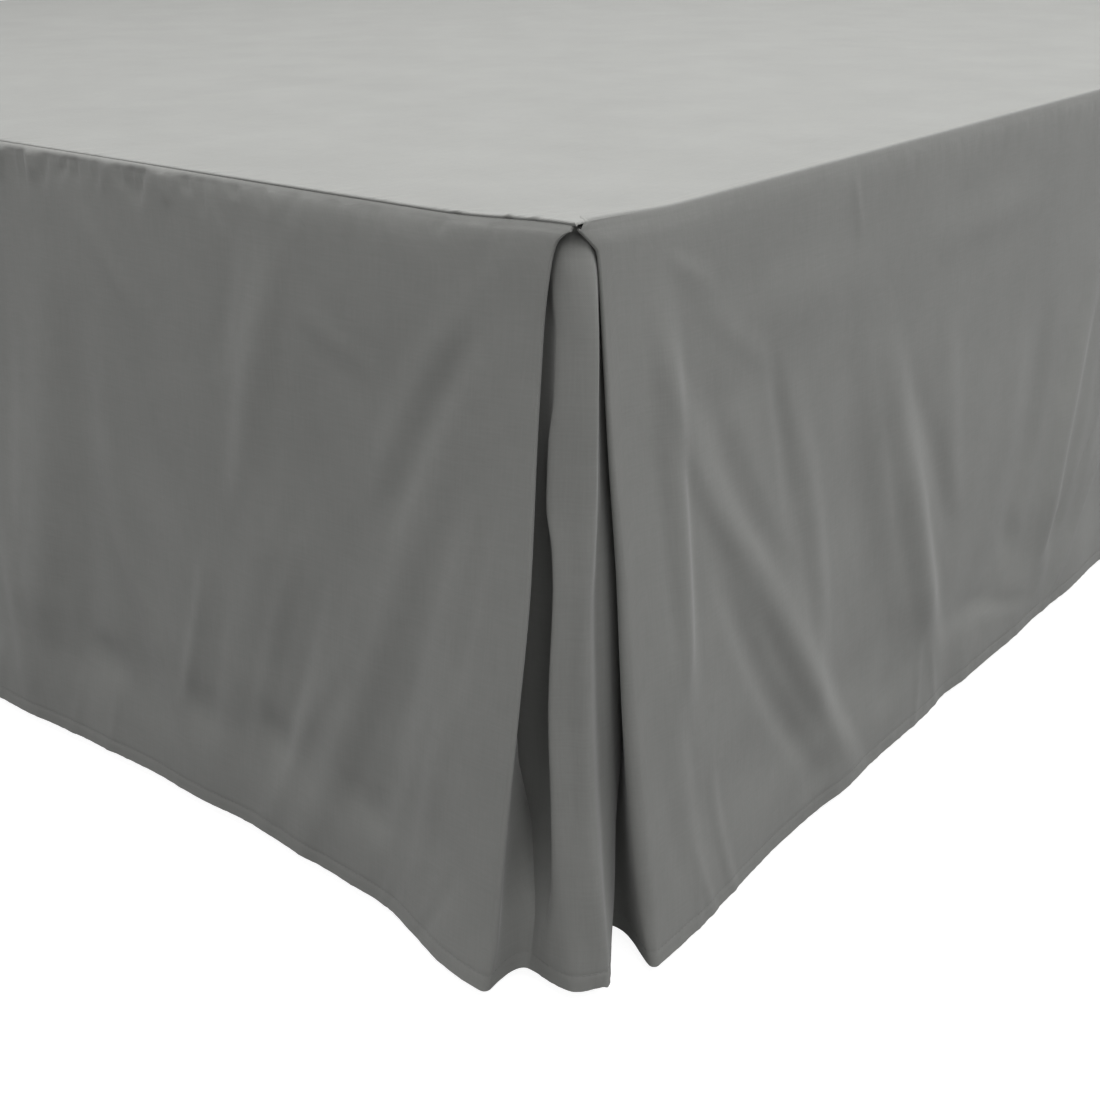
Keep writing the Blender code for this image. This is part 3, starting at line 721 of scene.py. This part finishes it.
def hangDrop(name, side, place, flip, material, thread):
    downs = downRows()
    levels = downs / dropLength
    along, out, free = dropLines(side, levels)
    down = np.broadcast_to(downs[:, None], along.shape)
    level = down / dropLength
    detail = foldHeight(side.folds, along, level)
    detail += creaseHeight(side.creases, along, level)
    detail += dentHeight(side.dents, along, level)
    detail += unevenness(side.seed, side.length, along, level) * rise(level, 0.02, 0.2)
    detail *= 1 - 0.45 * rise(level, 0.75, 1.0)
    kick = 0.8 * rise(level, 0.84, 0.97) - 1.2 * hump(level - 0.83, 0.1)
    out = out + free * (detail + kick)
    columns = np.arange(along.shape[1])
    panel = (columns >= grid["returnSteps"] + grid["noseSteps"] + 1) * 1.0
    shown = rise(columns, grid["returnSteps"], grid["returnSteps"] + grid["noseSteps"])
    if len(side.corners) == 2:
        panel *= panel[::-1]
        shown *= shown[::-1]
    rolled = rise(along[0], rim["rolledFrom"], rim["rolledBy"]) * panel if side.rolled else panel * 0
    out += rim["lift"] * rolled * (1 - rise(down, 4.0, 60.0))
    lift = np.zeros(along.shape[1])
    for corner in side.corners:
        lift += cornerLift(along[0] - corner)
    height = seamHeight - down + lift * (1 - rise(down, 0.0, soft["liftFade"]))
    points = np.stack(place(along, out, height), axis=2)
    turn = -1 if flip else 1
    normals = gridNormals(points) * turn
    around = clothCoordinates(points)[:, :, 0] / mm
    around -= around.min()
    length = around.max()
    ripple = puckers(
        side.seed + 1, length, (4, 11), (2.2, 4.5), (9, 24), (0.08, 0.42), around, dropLength - down
    )
    ripple *= 0.25 + 0.75 * rise(free, 0.0, 0.6)
    gathers = -puckers(
        side.seed + 2, length, (7, 12), (3.4, 5.4), (8, 32), (0.5, 2.3), around, down, 0.4
    )
    gathers *= 0.3 + 0.7 * (1 - nearCorner(side, along))
    gathers *= free * (0.12 if side.rolled else 1.0)
    if side.rolled:
        ripple += gathers * rise(down, 0.5, 4.5)
    else:
        ripple += gathers * rise(down + skirt["seamDepth"] - footLow(side, along), 0.0, gatherDepth)
    ripple -= hemDip(down)
    points = points + normals * ripple[:, :, None]
    normals = gridNormals(points) * turn
    stitches = hemRow(points, normals, downs, name, thread)
    if side.rolled:
        head = rolledHead(along[0], out[0], rolled)
    else:
        head = seamedHead(side, along[0], out[0], shown, gathers[0])
    top = np.stack([np.stack(place(row[0], row[1], row[2] + lift), axis=1) for row in head])
    points = np.concatenate([top, turnHem(points, normals)])
    return clothFromGrid(name, points, flip, material), stitches


def underlayLines(levels):
    # The underlay's outer face as right and back of its corner, a Catmull-Rom line at each level
    places = [row.level for row in underlayRows]
    share = np.linspace(0, 7, grid["underlaySteps"] + 1)
    k = np.minimum(share.astype(int), 6)
    t = (share - k)[:, None]
    lines = []
    for level in levels:
        foot = edgeAt(footEdge, level)
        long = edgeAt(longEdge, level)
        points = [(-foot.backAlong, -foot.backOut)]
        for i in range(1, 7):
            columns = [[row[i][axis] for row in underlayRows] for axis in (0, 1)]
            points.append([readColumn(places, column, level) for column in columns])
        points.append((long.backOut, long.backAlong))
        points = np.array(points, float)
        ends = np.concatenate([[2 * points[0] - points[1]], points, [2 * points[-1] - points[-2]]])
        before, start, stop, after = ends[k], ends[k + 1], ends[k + 2], ends[k + 3]
        lines.append(hermite(start, stop, (stop - before) / 2, (after - start) / 2, t))
    return np.array(lines)


def hangUnderlay(name, direction, seed, material, thread):
    downs = np.concatenate([np.linspace(0.0, 0.7, 3), downRows()])
    lines = underlayLines(downs / dropLength)
    down = np.broadcast_to(downs[:, None], lines.shape[:2])
    x = direction * (skirt["halfWidth"] + lines[:, :, 0])
    lift = cornerLift(np.hypot(lines[:, :, 0], lines[:, :, 1])) * (1 - rise(down, 0.0, soft["liftFade"]))
    points = np.stack([x, skirt["footSeam"] + lines[:, :, 1], seamHeight - down + lift], axis=2)
    normals = gridNormals(points) * direction
    around = clothCoordinates(points)[:, :, 0] / mm
    around -= around.min()
    shown = hump(np.linspace(-1, 1, points.shape[1]), 1.0)
    ripple = puckers(
        seed, around.max(), (4, 9), (2.0, 3.6), (7, 16), (0.12, 0.5), around, dropLength - down
    )
    ripple += 0.5 * hump(around - around.max() * 0.42, 5) * rise(down, 60, 160) * (1 - rise(down, 220, 330))
    ripple = ripple * rise(shown, 0.1, 0.5) - hemDip(down)
    points = points + normals * ripple[:, :, None]
    normals = gridNormals(points) * direction
    stitches = hemRow(points, normals, downs, name, thread)
    return clothFromGrid(name, turnHem(points, normals), direction < 0, material), stitches


deck = {
    "fine": 2.6,  # spacing of its points along the edges beside the foot right corner
    "far": 7.0,  # and along the rest of them
    "fineReach": 520.0,
    "near": 10.0,  # in the foot right quarter
    "coarseLeft": -250.0,  # its points thin out left of here
    "coarseBack": 1250.0,  # and this far back from the foot
    "swell": 1.4,  # how high its broadest swells stand
}


def edgePlaces(start, stop):
    # From the end beside the corner to the far end
    length = stop - start
    turn = math.copysign(min(deck["fineReach"], abs(length)), length)
    fine = np.linspace(start, start + turn, math.ceil(abs(turn) / deck["fine"]) + 1)
    wide = np.linspace(start + turn, stop, math.ceil(abs(length - turn) / deck["far"]) + 1)[1:]
    return np.concatenate([fine, wide])


def deckPlaces():
    # Points over the flat panel, close together beside the three sewn edges
    quarter = rim["radius"] * math.pi / 2
    footArc = rim["footRadius"] * math.radians(150)
    left = -skirt["halfWidth"] + rim["radius"] - quarter
    foot = skirt["footSeam"] + rim["footRadius"] - footArc
    head = skirt["headEdge"]
    insets = [0, 0.45, 0.9, 1.35, 1.8, 2.3, 2.9, 3.6, 4.6, 6, 7.5, 9.5, 12, 15, 19, 24, 30, 38, 48]
    places = []
    for inset in insets:
        x = left + inset
        y = foot + inset
        up = edgePlaces(y, head)
        far = np.linspace(y, head, math.ceil((head - y) / deck["far"]) + 1)
        across = edgePlaces(-x, x)[1:-1]
        places += [(x, v) for v in far] + [(u, y) for u in across] + [(-x, v) for v in up]
    inner = insets[-1] + deck["near"]
    for v in np.arange(foot + inner, head + deck["near"] * 0.9, deck["near"]):
        v = min(v, head)
        for u in np.arange(left + inner, -left - inner + 0.1, deck["near"]):
            coarse = u < deck["coarseLeft"] or v > foot + deck["coarseBack"]
            column = round((u - left - inner) / deck["near"])
            row = round((v - foot - inner) / deck["near"])
            if coarse and (column % 2 or row % 2) and v < head:
                continue
            places.append((u, v))
    return np.array(places)


# Faint lines pressed into the deck: two ends, half width and depth
Press = namedtuple("Press", "startX startY endX endY width depth")
deckPresses = [Press(*row) for row in (
    (-420, 560, 120, 760, 9, -0.5),
    (60, 690, 470, 560, 8, -0.45),
    (300, 380, 640, 210, 12, 0.4),
    (-600, -240, -120, 60, 10, -0.4),
    (180, 60, 560, -180, 14, 0.5),
    (-250, -700, 90, -640, 9, 0.4),
    (-700, 700, -300, 900, 10, 0.5),
)]
# The same, beside each foot corner
cornerPresses = [Press(*row) for row in (
    (676, -1006, 722, -984, 4, 0.5),
    (719, -1004, 730, -972, 4, 0.7),
    (735, -1002, 740, -974, 3.5, 0.6),
    (744, -1000, 747, -962, 4, 0.7),
    (751, -994, 746, -930, 4.5, 0.6),
)]


def pressHeight(lines, x, y):
    total = np.zeros(x.shape)
    for line in lines:
        start = np.array([line.startX, line.startY])
        along = np.array([line.endX, line.endY]) - start
        reach = np.linalg.norm(along)
        along = along / reach
        share = ((x - start[0]) * along[0] + (y - start[1]) * along[1]) / reach
        aside = (x - start[0]) * -along[1] + (y - start[1]) * along[0]
        aside -= 0.9 * line.width * np.sin(share * 5 + line.width)
        total += line.depth * hump(aside, line.width) * rise(share, 0, 0.25) * (1 - rise(share, 0.75, 1))
    return total


def deckSwell(x, y):
    waves = np.sin(x / 310 + 0.4) * np.sin(y / 270 + 1.1)
    waves = waves + 0.5 * np.sin(x / 120 - y / 190) * np.sin(y / 150 + 0.7)
    return deck["swell"] * (0.5 + 0.33 * waves)


def layDeck(name, material):
    joined = delaunay_2d_cdt(deckPlaces().tolist(), [], [], 0, 1e-4)
    flat = np.array([tuple(place) for place in joined[0]])
    faces = np.array(joined[2])
    x, y = flat[:, 0].copy(), flat[:, 1].copy()
    side = np.sign(x)
    past = np.maximum(np.abs(x) - skirt["halfWidth"] + rim["radius"], 0.0)
    angle = past / rim["radius"]
    sunk = rim["radius"] * (1 - np.cos(angle))
    x = np.where(past > 0, side * (skirt["halfWidth"] - rim["radius"] + rim["radius"] * np.sin(angle)), x)
    footPast = np.maximum(skirt["footSeam"] + rim["footRadius"] - y, 0.0)
    footAngle = footPast / rim["footRadius"]
    footSunk = rim["footRadius"] * (1 - np.cos(footAngle))
    y = np.where(footPast > 0, skirt["footSeam"] + rim["footRadius"] * (1 - np.sin(footAngle)), y)
    fromSide = skirt["halfWidth"] - np.abs(x)
    fromFoot = y - skirt["footSeam"]
    swell = deckSwell(x, y) + pressHeight(deckPresses, x, y)
    swell += unevenness(71, 2000, x + skirt["halfWidth"], (y - skirt["footSeam"]) / skirtLength)
    swell *= rise(np.minimum(fromSide, fromFoot), 8, 90)
    swell += pressHeight(cornerPresses, np.abs(x), y) * rise(fromSide, 7.5, 13.0)
    puffs = puckers(72, skirtWidth, (5, 12), (2.5, 5), (8, 26), (0.15, 0.6), x + skirt["halfWidth"], fromFoot)
    edge = puckers(73, skirtLength, (14, 40), (12, 26), (6, 14), (0.15, 0.5), fromFoot, fromSide)
    puffs = puffs * (past == 0) * rise(fromFoot, 0.2, 3.0)
    swell += puffs + edge * (footPast == 0) * rise(fromSide, 5.0, 7.5)
    height = skirt["deckTop"] - (sunk ** 3 + footSunk ** 3) ** (1 / 3) + swell
    height += cornerLift(np.hypot(fromSide, fromFoot))
    points = np.stack([x, y, height], axis=1)
    return clothFromFaces(name, points, faces, flat * mm, material)


def addNode(tree, kind, settings=None, inputs=None):
    # A shader node with its settings, and its inputs as values or as links
    node = tree.nodes.new(kind)
    for name, value in (settings or {}).items():
        setattr(node, name, value)
    for key, value in (inputs or {}).items():
        if isinstance(value, bpy.types.NodeSocket):
            tree.links.new(value, node.inputs[key])
        else:
            node.inputs[key].default_value = value
    return node


def calc(tree, operation, *values):
    return addNode(tree, "ShaderNodeMath", {"operation": operation}, dict(enumerate(values))).outputs[0]


def noise(tree, vector, scale, detail, **more):
    inputs = {"Vector": vector, "Scale": scale, "Detail": detail, **more}
    return addNode(tree, "ShaderNodeTexNoise", inputs=inputs).outputs["Fac"]


def newGroup(name, inputs, outputs):
    group = bpy.data.node_groups.new(name, "ShaderNodeTree")
    for title, kind, value in inputs:
        socket = group.interface.new_socket(name=title, in_out="INPUT", socket_type=kind)
        if value is not None:
            socket.default_value = value
    for title, kind in outputs:
        group.interface.new_socket(name=title, in_out="OUTPUT", socket_type=kind)
    return group, group.nodes.new("NodeGroupInput").outputs, group.nodes.new("NodeGroupOutput").inputs


def plainWeaveGroup():
    # Threads crossing over and under, at a pitch given in metres
    group, given, result = newGroup(
        "plainWeave",
        [("Vector", "NodeSocketVector", None), ("Pitch", "NodeSocketFloat", 0.0005)],
        [("Height", "NodeSocketFloat")],
    )
    split = addNode(group, "ShaderNodeSeparateXYZ", inputs={0: given["Vector"]})
    turns = calc(group, "DIVIDE", math.pi, given["Pitch"])
    waves = []
    for axis in ("X", "Y"):
        scaled = calc(group, "MULTIPLY", split.outputs[axis], turns)
        waves.append(calc(group, "SINE", scaled))
    group.links.new(calc(group, "MULTIPLY", *waves), result["Height"])
    return group


def slubGroup():
    # Uneven yarns, as fine streaks both ways, and broader cloudy patches
    group, given, result = newGroup(
        "slubs",
        [("Vector", "NodeSocketVector", None), ("Fine", "NodeSocketFloat", 900.0),
         ("Long", "NodeSocketFloat", 40.0)],
        [("Streaks", "NodeSocketFloat"), ("Clouds", "NodeSocketFloat")],
    )
    streaks = []
    for order in (("Fine", "Long"), ("Long", "Fine")):
        scale = addNode(group, "ShaderNodeCombineXYZ", inputs={"X": given[order[0]], "Y": given[order[1]]})
        factors = {0: given["Vector"], 1: scale.outputs[0]}
        stretched = addNode(group, "ShaderNodeVectorMath", {"operation": "MULTIPLY"}, factors)
        streaks.append(noise(group, stretched.outputs[0], 1.0, 2.0))
    half = calc(group, "MULTIPLY", calc(group, "ADD", *streaks), 0.5)
    clouds = noise(group, given["Vector"], 14.0, 4.0, Roughness=0.6)
    group.links.new(half, result["Streaks"])
    group.links.new(clouds, result["Clouds"])
    return group


def grainGroup():
    # A fine grain on Object coordinates, with its broad uneven tone
    group, given, result = newGroup(
        "grain",
        [("Vector", "NodeSocketVector", None), ("Scale", "NodeSocketFloat", 900.0),
         ("Tone Scale", "NodeSocketFloat", 6.0)],
        [("Height", "NodeSocketFloat"), ("Tone", "NodeSocketFloat")],
    )
    group.links.new(noise(group, given["Vector"], given["Scale"], 3.0), result["Height"])
    group.links.new(noise(group, given["Vector"], given["Tone Scale"], 4.0), result["Tone"])
    return group


plainWeave = plainWeaveGroup()
slubs = slubGroup()
grain = grainGroup()


def newMaterial(name, values):
    material = bpy.data.materials.new(name)
    material.use_nodes = True
    shader = material.node_tree.nodes["Principled BSDF"]
    for title, value in values.items():
        shader.inputs[title].default_value = value
    return material, material.node_tree, shader


def useGroup(tree, group, inputs):
    return addNode(tree, "ShaderNodeGroup", {"node_tree": group}, inputs).outputs


def mixColours(tree, share, low, high):
    inputs = {0: share, 6: (*low, 1.0), 7: (*high, 1.0)}
    return addNode(tree, "ShaderNodeMix", {"data_type": "RGBA"}, inputs).outputs[2]


def paint(tree, shader, share, low, high):
    tree.links.new(mixColours(tree, share, low, high), shader.inputs["Base Color"])


def grained(tree, scale, toneScale):
    # The grain on the piece's own coordinates
    place = addNode(tree, "ShaderNodeTexCoord").outputs["Object"]
    return place, useGroup(tree, grain, {"Vector": place, "Scale": scale, "Tone Scale": toneScale})


def stretchRange(tree, value, low, high, fromLow=0.3, fromHigh=0.7):
    scaled = addNode(tree, "ShaderNodeMapRange", inputs={
        "Value": value, "From Min": fromLow, "From Max": fromHigh, "To Min": low, "To Max": high
    })
    return scaled.outputs[0]


def addBumps(tree, shader, bumps):
    # Bumps laid one over the other: height, strength and distance of each
    normal = None
    for height, strength, distance in bumps:
        inputs = {"Height": height, "Strength": strength, "Distance": distance}
        if normal is not None:
            inputs["Normal"] = normal
        normal = addNode(tree, "ShaderNodeBump", inputs=inputs).outputs[0]
    tree.links.new(normal, shader.inputs["Normal"])


microfibre = {
    "dark": (0.196, 0.198, 0.189),
    "light": (0.226, 0.228, 0.218),
    "pitch": 0.00045,
    "roughness": 0.86,
    "nap": 0.05,  # how far the nap makes that vary
    "sheen": 0.18,
}


def microfibreCloth():
    material, tree, shader = newMaterial("skirtMicrofibre", {
        "Roughness": microfibre["roughness"],
        "Specular IOR Level": 0.25,
        "Sheen Weight": microfibre["sheen"],
        "Sheen Roughness": 0.45,
    })
    uv = addNode(tree, "ShaderNodeUVMap", {"uv_map": "weave"}).outputs[0]
    weave = useGroup(tree, plainWeave, {"Vector": uv, "Pitch": microfibre["pitch"]})
    yarn = useGroup(tree, slubs, {"Vector": uv, "Fine": 900.0, "Long": 45.0})
    nap = noise(tree, uv, 520.0, 3.0)
    creased = noise(tree, uv, 46.0, 3.0, Distortion=0.6)
    toned = calc(tree, "MULTIPLY", calc(tree, "ADD", yarn["Streaks"], yarn["Clouds"]), 0.5)
    share = stretchRange(tree, toned, 0.0, 1.0, 0.35, 0.65)
    paint(tree, shader, share, microfibre["dark"], microfibre["light"])
    rough = microfibre["roughness"]
    rough = stretchRange(tree, nap, rough - microfibre["nap"], rough + microfibre["nap"])
    tree.links.new(rough, shader.inputs["Roughness"])
    addBumps(tree, shader, [
        (creased, 0.35, 0.0006),
        (nap, 0.25, 0.0002),
        (weave["Height"], 0.22, 0.00008),
    ])
    return material


def sewingThread():
    material, tree, shader = newMaterial("sewingThread", {
        "Base Color": (0.15, 0.152, 0.145, 1.0), "Roughness": 0.6, "Sheen Weight": 0.1
    })
    twist = grained(tree, 2600.0, 30.0)[1]
    paint(tree, shader, twist["Tone"], (0.13, 0.131, 0.125), (0.2, 0.202, 0.193))
    addBumps(tree, shader, [(twist["Height"], 0.4, 0.0001)])
    return material


def springTicking():
    # Woven off-white ticking with a slight twill
    material, tree, shader = newMaterial("springTickingWeave", {"Roughness": 0.9, "Sheen Weight": 0.1})
    place, fibres = grained(tree, 1100.0, 9.0)
    rib = addNode(tree, "ShaderNodeTexWave", {"bands_direction": "DIAGONAL"}, {
        "Vector": place, "Scale": 190.0, "Distortion": 0.6, "Detail": 1.0
    })
    tone = stretchRange(tree, fibres["Tone"], 0.0, 1.0)
    paint(tree, shader, tone, (0.66, 0.64, 0.6), (0.76, 0.745, 0.71))
    addBumps(tree, shader, [
        (fibres["Tone"], 0.3, 0.002),
        (rib.outputs["Fac"], 0.3, 0.0003),
        (fibres["Height"], 0.3, 0.0002),
    ])
    return material


def coatedSteel():
    material, tree, shader = newMaterial("coatedSteel", {
        "Roughness": 0.45, "Specular IOR Level": 0.5, "Coat Weight": 0.15
    })
    peel = grained(tree, 700.0, 12.0)[1]
    tone = stretchRange(tree, peel["Tone"], 0.0, 1.0)
    paint(tree, shader, tone, (0.026, 0.026, 0.028), (0.045, 0.045, 0.047))
    tree.links.new(stretchRange(tree, peel["Tone"], 0.38, 0.55), shader.inputs["Roughness"])
    addBumps(tree, shader, [(peel["Height"], 0.35, 0.0003)])
    return material


def glidePlastic():
    material, tree, shader = newMaterial("glidePlastic", {"Roughness": 0.6, "Specular IOR Level": 0.4})
    moulded = grained(tree, 1500.0, 40.0)[1]
    paint(tree, shader, moulded["Tone"], (0.022, 0.022, 0.022), (0.038, 0.038, 0.038))
    tree.links.new(stretchRange(tree, moulded["Tone"], 0.5, 0.68), shader.inputs["Roughness"])
    addBumps(tree, shader, [(moulded["Height"], 0.3, 0.00015)])
    return material


cloth = microfibreCloth()
thread = sewingThread()
hemThread = {"pitch": 3.1, "length": 2.3, "radius": 0.2, "sink": 0.02}
print("materials: made")

for name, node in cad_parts.items():
    if name == "box_spring":
        finish = springTicking()
    elif name.startswith("glide"):
        finish = bpy.data.materials.get("glidePlastic") or glidePlastic()
    elif name.startswith(("rail", "bearer", "leg")):
        finish = bpy.data.materials.get("coatedSteel") or coatedSteel()
    else:
        continue
    node.material_slots[0].material = finish
print("bed: finished")

deckCloth = layDeck("deckCloth", cloth)
print("deck: laid")
dropFoot, footHemStitches = hangDrop("dropFootCloth", footSide, placeFoot, True, cloth, thread)
dropRight, rightHemStitches = hangDrop("dropRightCloth", rightSide, placeRight, False, cloth, thread)
dropLeft, leftHemStitches = hangDrop("dropLeftCloth", leftSide, placeLeft, True, cloth, thread)
print("drops: hung")
pleatRight, pleatRightStitches = hangUnderlay("pleatRightCloth", 1, 51, cloth, thread)
pleatLeft, pleatLeftStitches = hangUnderlay("pleatLeftCloth", -1, 57, cloth, thread)
print("pleats: hung")

hungTall = 0.392  # the drop and its turned hem, laid flat
hung = (
    (dropFoot, "drop_foot", (1.590, hungTall), footHemStitches),
    (dropRight, "drop_right", (2.087, hungTall), rightHemStitches),
    (dropLeft, "drop_left", (2.087, hungTall), leftHemStitches),
    (pleatRight, "pleat_right", (0.117, hungTall), pleatRightStitches),
    (pleatLeft, "pleat_left", (0.117, hungTall), pleatLeftStitches),
)
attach(deckCloth, "root")
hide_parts("deck_panel")
for piece, node, flat, stitches in hung:
    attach(piece, "root")
    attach(stitches, "root")
    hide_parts(node)

studio = {
    "floorSide": 30.0,
    "floorPale": 0.35,
    "floorBounce": 0.22,
    "floorGlow": 0.92,
    "ambient": 0.05,
    "backdrop": 0.95,
}


def layFloor():
    bpy.ops.object.select_all(action="DESELECT")
    bpy.ops.mesh.primitive_plane_add(size=studio["floorSide"], location=(0.0, 0.0, 0.0))
    floor = bpy.context.object
    floor.name = "studioFloor"
    material, tree, shader = newMaterial("studioFloor", {"Roughness": 0.9, "Specular IOR Level": 0.1})
    seen = addNode(tree, "ShaderNodeLightPath").outputs["Is Camera Ray"]
    bounce = (studio["floorBounce"],) * 3
    pale = (studio["floorPale"],) * 3
    tree.links.new(mixColours(tree, seen, bounce, pale), shader.inputs["Base Color"])
    glow = mixColours(tree, seen, (0.0, 0.0, 0.0), (1.0, 1.0, 1.0))
    tree.links.new(glow, shader.inputs["Emission Color"])
    shader.inputs["Emission Strength"].default_value = studio["floorGlow"]
    floor.data.materials.append(material)


# Square soft boxes: name, place, what they are aimed at, side and power
SoftBox = namedtuple("SoftBox", "name place aim side power")
softBoxes = (
    SoftBox("overhead", (0.95, 0.1, 3.0), (0.95, 0.1, 0.0), 4.8, 290.0),
    SoftBox("key", (3.4, -2.9, 1.9), (0.8, -0.9, 0.2), 2.0, 27.0),
    SoftBox("front", (0.7, -3.6, 1.4), (0.7, -1.0, 0.2), 1.6, 12.0),
    SoftBox("left", (-4.5, -2.4, 1.5), (0.3, -1.0, 0.2), 1.4, 36.0),
)


def addSoftBox(box):
    light = bpy.data.lights.new(box.name + "SoftBox", "AREA")
    light.size = box.side
    light.energy = box.power
    lamp = addObject(light.name, light)
    lamp.location = box.place
    away = np.array(box.place) - np.array(box.aim)
    tilt = math.acos(away[2] / np.linalg.norm(away))
    lamp.rotation_euler = Euler((tilt, 0.0, math.atan2(away[0], -away[1])))


def lightStudio():
    for box in softBoxes:
        addSoftBox(box)
    world = bpy.data.worlds.new("studioAir")
    world.use_nodes = True
    tree = world.node_tree
    seen = addNode(tree, "ShaderNodeLightPath").outputs["Is Camera Ray"]
    air = mixColours(tree, seen, (studio["ambient"],) * 3, (studio["backdrop"],) * 3)
    tree.links.new(air, tree.nodes["Background"].inputs["Color"])
    bpy.context.scene.world = world
    bpy.context.scene.view_settings.view_transform = "Standard"


view = {
    "place": (1.1503, -1.4970, 0.5199),
    "pitch": 23.668,
    "turn": 39.02,
    "roll": -0.453,
    "lens": 49.344,
}


def placeCamera():
    camera = bpy.data.cameras.new("photoView")
    camera.sensor_width = 36.0
    camera.lens = view["lens"]
    camera.clip_start = 0.02
    holder = bpy.data.objects.new("photoView", camera)
    aim = Euler((math.radians(90 - view["pitch"]), 0.0, math.radians(view["turn"]))).to_matrix()
    aim = aim @ Matrix.Rotation(math.radians(view["roll"]), 3, "Z")
    holder.matrix_world = Matrix.Translation(view["place"]) @ aim.to_4x4()
    bpy.context.scene.collection.objects.link(holder)
    bpy.context.scene.camera = holder


layFloor()
lightStudio()
placeCamera()
print("studio: lit")
